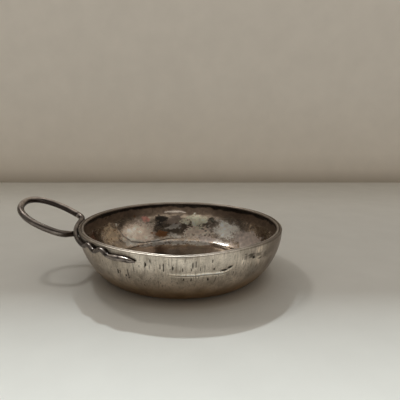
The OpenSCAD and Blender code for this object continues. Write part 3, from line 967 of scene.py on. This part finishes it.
# Fine dirt of the sheet: scale, detail and stretch of its noise, limits, the most dirt, and colour
SHEET_CLOUDS = (160, 6)
SHEET_DIRT = [
    (SHEET_CLOUDS, (0.4, 0.75), 0.3, (0.28, 0.22, 0.15)),
    ((500, 4, (1, 1, 0.12)), (0.52, 0.7), 0.4, (0.2, 0.16, 0.12)),
    ((1400, 3, (1, 1, 0.1)), (0.5, 0.68), 0.45, (0.24, 0.19, 0.15)),
    ((2600, 2), (0.5, 0.72), 0.4, (0.16, 0.125, 0.09)),
]
# Colour of the marks, which also paints the shade in the crease and beside the arms
MARK_LIMITS, MARK_MOST, MARK_AND_SHADE_COLOUR = (0.2, 0.75), 0.95, (0.02, 0.016, 0.012)
MATT_METALLIC, SHEET_SPECULAR = 0.1, 0.2
CLOUD_LIMITS, SHEET_UNEVEN = (0.3, 0.7), (-0.04, 0.08)
SHEET_FINE, SHEET_BUMP = (900, 3), (0.12, 0.0002)
# Wires: base colour, darker colour and least roughness of each, and what they share
RIM_SILVER = (0.48, 0.42, 0.365), (0.28, 0.225, 0.18), 0.32
HANDLE_SILVER = (0.57, 0.5, 0.45), (0.27, 0.22, 0.19), 0.24
SOLDER = (0.06, 0.045, 0.035), (0.02, 0.015, 0.012), 0.45
WIRE_NOISE, WIRE_LIMITS, WIRE_DARKER, WIRE_UNEVEN = (260, 5), (0.35, 0.7), 0.6, 0.15
TARNISH_AND_SHADE_MOST, TARNISH_AND_SHADE = 0.95, (0.028, 0.02, 0.018)
WIRE_FINE, WIRE_BUMP = (1500, 2), (0.1, 0.0001)


def silver_bowl():
    """Beaten sheet: the stored tints with their painted light and shade, fine dirt, dark marks with painted
    shade among them, matt stains and a worn, uneven polish.
    """
    material, tree, shader = new_material("beaten_silver")
    coords = coordinates(tree)
    grain, colour = layer(tree, "grain"), layer(tree, "tint", "Color")
    for pattern, limits, most, dirt in SHEET_DIRT:
        share = ramp(noise_node(coords, *pattern), limits, (0, most))
        colour = mix_colour(combine("MULTIPLY", share, grain), colour, dirt)
    marked_and_shaded = ramp(layer(tree, "marks"), MARK_LIMITS, (0, MARK_MOST))
    uneven = ramp(noise_node(coords, *SHEET_CLOUDS), CLOUD_LIMITS, SHEET_UNEVEN)
    fill(shader, {
        "Base Color": mix_colour(marked_and_shaded, colour, MARK_AND_SHADE_COLOUR),
        "Metallic": ramp(layer(tree, "matt"), (0, 1), (1, MATT_METALLIC)),
        "Roughness": combine("ADD", layer(tree, "rough"), uneven),
        "Normal": bump(noise_node(coords, *SHEET_FINE), *SHEET_BUMP),
        "Specular IOR Level": SHEET_SPECULAR,
    })
    return material


def silver_wire(name, base, darker, rough):
    """Drawn wire: bright where it is rubbed, and nearly black where tarnishing and painted shade darken it.
    """
    material, tree, shader = new_material(name)
    coords = coordinates(tree)
    cloudy = noise_node(coords, *WIRE_NOISE)
    colour = mix_colour(ramp(cloudy, WIRE_LIMITS, (0, WIRE_DARKER)), base, darker)
    tarnished = ramp(layer(tree, "tarnish"), (0, 1), (0, TARNISH_AND_SHADE_MOST))
    fill(shader, {
        "Base Color": mix_colour(tarnished, colour, TARNISH_AND_SHADE),
        "Metallic": 1.0,
        "Roughness": ramp(cloudy, CLOUD_LIMITS, (rough, rough + WIRE_UNEVEN)),
        "Normal": bump(noise_node(coords, *WIRE_FINE), *WIRE_BUMP),
    })
    return material


# Stage

STAGE_HALF = 2
# The backdrop's top edge keeps the daylight off the table behind the bowl's front
WALL_Y, WALL_TOP = 0.24, 0.3885
# Tones of the table from front to back, painted lighter near the backdrop, and of the backdrop by height
TABLE_COLOUR, TABLE_BACK_LIT, BACK_FROM = (0.76, 0.75, 0.71), (0.88, 0.86, 0.8), 0.06
TABLE_TONES = [(-STAGE_HALF, TABLE_COLOUR), (BACK_FROM, TABLE_COLOUR), (WALL_Y, TABLE_BACK_LIT)]
# The backdrop's lowest tones paint shade where it meets the table
WALL_TONES = [
    (0.0, (0.5, 0.44, 0.36)), (0.006, (0.62, 0.55, 0.47)), (0.014, (0.77, 0.7, 0.61)),
    (0.03, (0.86, 0.79, 0.7)), (0.09, (0.88, 0.82, 0.74)), (WALL_TOP, (0.89, 0.83, 0.76)),
]
STAGE_NOISE, STAGE_GRAIN, STAGE_DIRT = (60, 4), 0.06, (0.25, 0.23, 0.2)
STAGE_ROUGH, STAGE_SPECULAR, NEW_TONE_AT = 0.6, 0.15, 0.5
# The painted shadow on the table round the bowl's foot: its width, strength and colour
FOOT_SHADE, FOOT_DARK, FOOT_SHADOW_COLOUR = 10.0, 0.75, (0.12, 0.1, 0.08)


def plane(name, corners, material):
    """A flat piece of the stage."""
    mesh = bpy.data.meshes.new(name)
    mesh.from_pydata(corners, [], [(0, 1, 2, 3)])
    mesh.materials.append(material)
    made = add_object(name, mesh)


def toned_material(name, axis, tones):
    """A matt surface whose colour changes along one axis, with a faint grain."""
    material, tree, shader = new_material(name)
    coords = coordinates(tree)
    first, last = tones[0][0], tones[-1][0]
    along = node(tree, "ShaderNodeSeparateXYZ", {0: coords}).outputs[axis]
    tone = node(tree, "ShaderNodeValToRGB", {"Fac": ramp(along, (first, last))})
    elements = tone.color_ramp.elements
    while len(elements) < len(tones):
        elements.new(NEW_TONE_AT)
    for element, (at, colour) in zip(elements, tones):
        element.position = (at - first) / (last - first)
        element.color = (*colour, 1)
    grain = ramp(noise_node(coords, *STAGE_NOISE), CLOUD_LIMITS, (0, STAGE_GRAIN))
    fill(shader, {
        "Base Color": mix_colour(grain, tone.outputs["Color"], STAGE_DIRT),
        "Roughness": STAGE_ROUGH,
        "Specular IOR Level": STAGE_SPECULAR,
    })
    return material


def shade_foot(material):
    """Darkens the table close to the bowl's foot, where little of the room's light gets in."""
    tree = material.node_tree
    socket = tree.nodes["Principled BSDF"].inputs["Base Color"]
    away = node(tree, "ShaderNodeVectorMath", {0: coordinates(tree)}, operation="LENGTH").outputs["Value"]
    share = ramp(away, (FLOOR_R * MM, (FLOOR_R + FOOT_SHADE) * MM), (FOOT_DARK, 0))
    tree.links.new(mix_colour(share, socket.links[0].from_socket, FOOT_SHADOW_COLOUR), socket)


def make_stage():
    """A pale table and a grey backdrop."""
    table = toned_material("pale_table", "Y", TABLE_TONES)
    shade_foot(table)
    wall = toned_material("grey_wall", "Z", WALL_TONES)
    w, y, top = STAGE_HALF, WALL_Y, WALL_TOP
    plane("floor", [(-w, -w, 0), (w, -w, 0), (w, y, 0), (-w, y, 0)], table)
    plane("backdrop", [(-w, y, 0), (w, y, 0), (w, y, top), (-w, y, top)], wall)


# Light and camera

# Lamps: name, direction from the bowl, distance, width, power and colour
LAMPS = [
    ("left_lamp", (-0.405, 0.346, 0.845), 1.0, 0.1, 1.0, (1.0, 0.97, 0.92)),
    ("daylight", (-0.08, 0.57, 0.818), 1.2, 0.07, 11.0, (0.88, 0.97, 1.0)),
]
# The dim room, with a bright low band in front: limits of its height and of how far ahead it is
ROOM_COLOUR, BAND_COLOUR = (0.06, 0.055, 0.048), (0.98, 0.94, 0.87)
BAND_Z, BAND_Y = (0.45, 0.28), (-0.4, -0.8)
# Soft glows of the room: direction, cosines of the angles at the edge and of the full part, and colour
GLOWS = [
    ((0.0, 0.42, 0.9075), (0.62, 0.92), (0.8, 0.76, 0.7)),
    ((0.77, -0.18, 0.61), (0.93, 0.98), (0.62, 0.56, 0.49)),
    ((-0.77, -0.18, 0.61), (0.93, 0.98), (0.38, 0.37, 0.35)),
]
# Camera: distance, rise above the lip's middle, and the focal length and shift in pixels
CAMERA_AWAY, CAMERA_RISE, CLIP_START = 0.150, radians(14.69), 0.005
PICTURE_W, FOCAL, SHIFT, SENSOR_W = 400, 369, (19.7, 22.7), 36


def area_light(name, direction, away, width, power, colour):
    """A soft lamp that far from the bowl in that direction, turned towards it."""
    lamp = bpy.data.lights.new(name, "AREA")
    lamp.shape = "RECTANGLE"
    lamp.size, lamp.size_y = width, width
    lamp.energy = power
    lamp.color = colour
    made = add_object(name, lamp)
    made.location = away * Vector(direction)
    made.rotation_euler = (-made.location).to_track_quat("-Z", "Y").to_euler()


def make_light():
    """The room's own light and the lamps."""
    world = bpy.data.worlds.new("room")
    bpy.context.scene.world = world
    world.use_nodes = True
    tree = world.node_tree
    coords = coordinates(tree, "Generated")
    split = node(tree, "ShaderNodeSeparateXYZ", {0: coords})
    low, ahead = ramp(split.outputs["Z"], BAND_Z), ramp(split.outputs["Y"], BAND_Y)
    colour = mix_colour(combine("MULTIPLY", low, ahead), ROOM_COLOUR, BAND_COLOUR)
    for direction, limits, glow in GLOWS:
        towards = node(tree, "ShaderNodeVectorMath", {0: coords, 1: direction}, operation="DOT_PRODUCT")
        colour = mix_colour(ramp(towards.outputs["Value"], limits), colour, glow)
    fill(tree.nodes["Background"], {"Color": colour, "Strength": 1.0})
    for lamp in LAMPS:
        area_light(*lamp)


def make_camera():
    """The camera that was fitted to the photograph."""
    data = bpy.data.cameras.new("camera")
    made = add_object("camera", data)
    target = Vector((0, 0, LIP_H * MM))
    made.location = target + CAMERA_AWAY * Vector((0, -cos(CAMERA_RISE), sin(CAMERA_RISE)))
    made.rotation_euler = (target - made.location).to_track_quat("-Z", "Y").to_euler()
    data.lens, data.sensor_width = FOCAL * SENSOR_W / PICTURE_W, SENSOR_W
    data.shift_x, data.shift_y = (shift / PICTURE_W for shift in SHIFT)
    data.clip_start = CLIP_START
    bpy.context.scene.camera = made


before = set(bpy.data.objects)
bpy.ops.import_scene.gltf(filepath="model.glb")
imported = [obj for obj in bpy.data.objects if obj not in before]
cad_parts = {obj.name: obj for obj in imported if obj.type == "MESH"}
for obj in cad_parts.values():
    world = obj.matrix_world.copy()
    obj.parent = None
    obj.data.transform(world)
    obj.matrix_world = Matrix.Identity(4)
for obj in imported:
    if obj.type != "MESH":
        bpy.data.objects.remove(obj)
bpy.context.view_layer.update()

bowl_silver = silver_bowl()
rim_silver = silver_wire("rim_silver", *RIM_SILVER)
handle_silver = silver_wire("handle_silver", *HANDLE_SILVER)
solder_silver = silver_wire("dark_solder", *SOLDER)

stations = handle_stations()
dress(make_bowl(stations), bowl_silver, "beaten_silver", "bowl")
dress(make_rim_wire(), rim_silver, "rim_silver", "rim_wire")
dress(make_rim_solder(), solder_silver, "solder", "rim_solder")
dress(make_handle(stations), handle_silver, "handle_silver", "handle_wire")
front_seam = make_seam("front_solder_seam", stations[FRONT_SEAM], FRONT_SEED)
dress(front_seam, solder_silver, "solder", "front_solder")
back_seam = make_seam("back_solder_seam", stations[BACK_SEAM], BACK_SEED)
dress(back_seam, solder_silver, "solder", "back_solder")

make_stage()
make_light()
make_camera()
bpy.context.scene.view_settings.view_transform = "Standard"
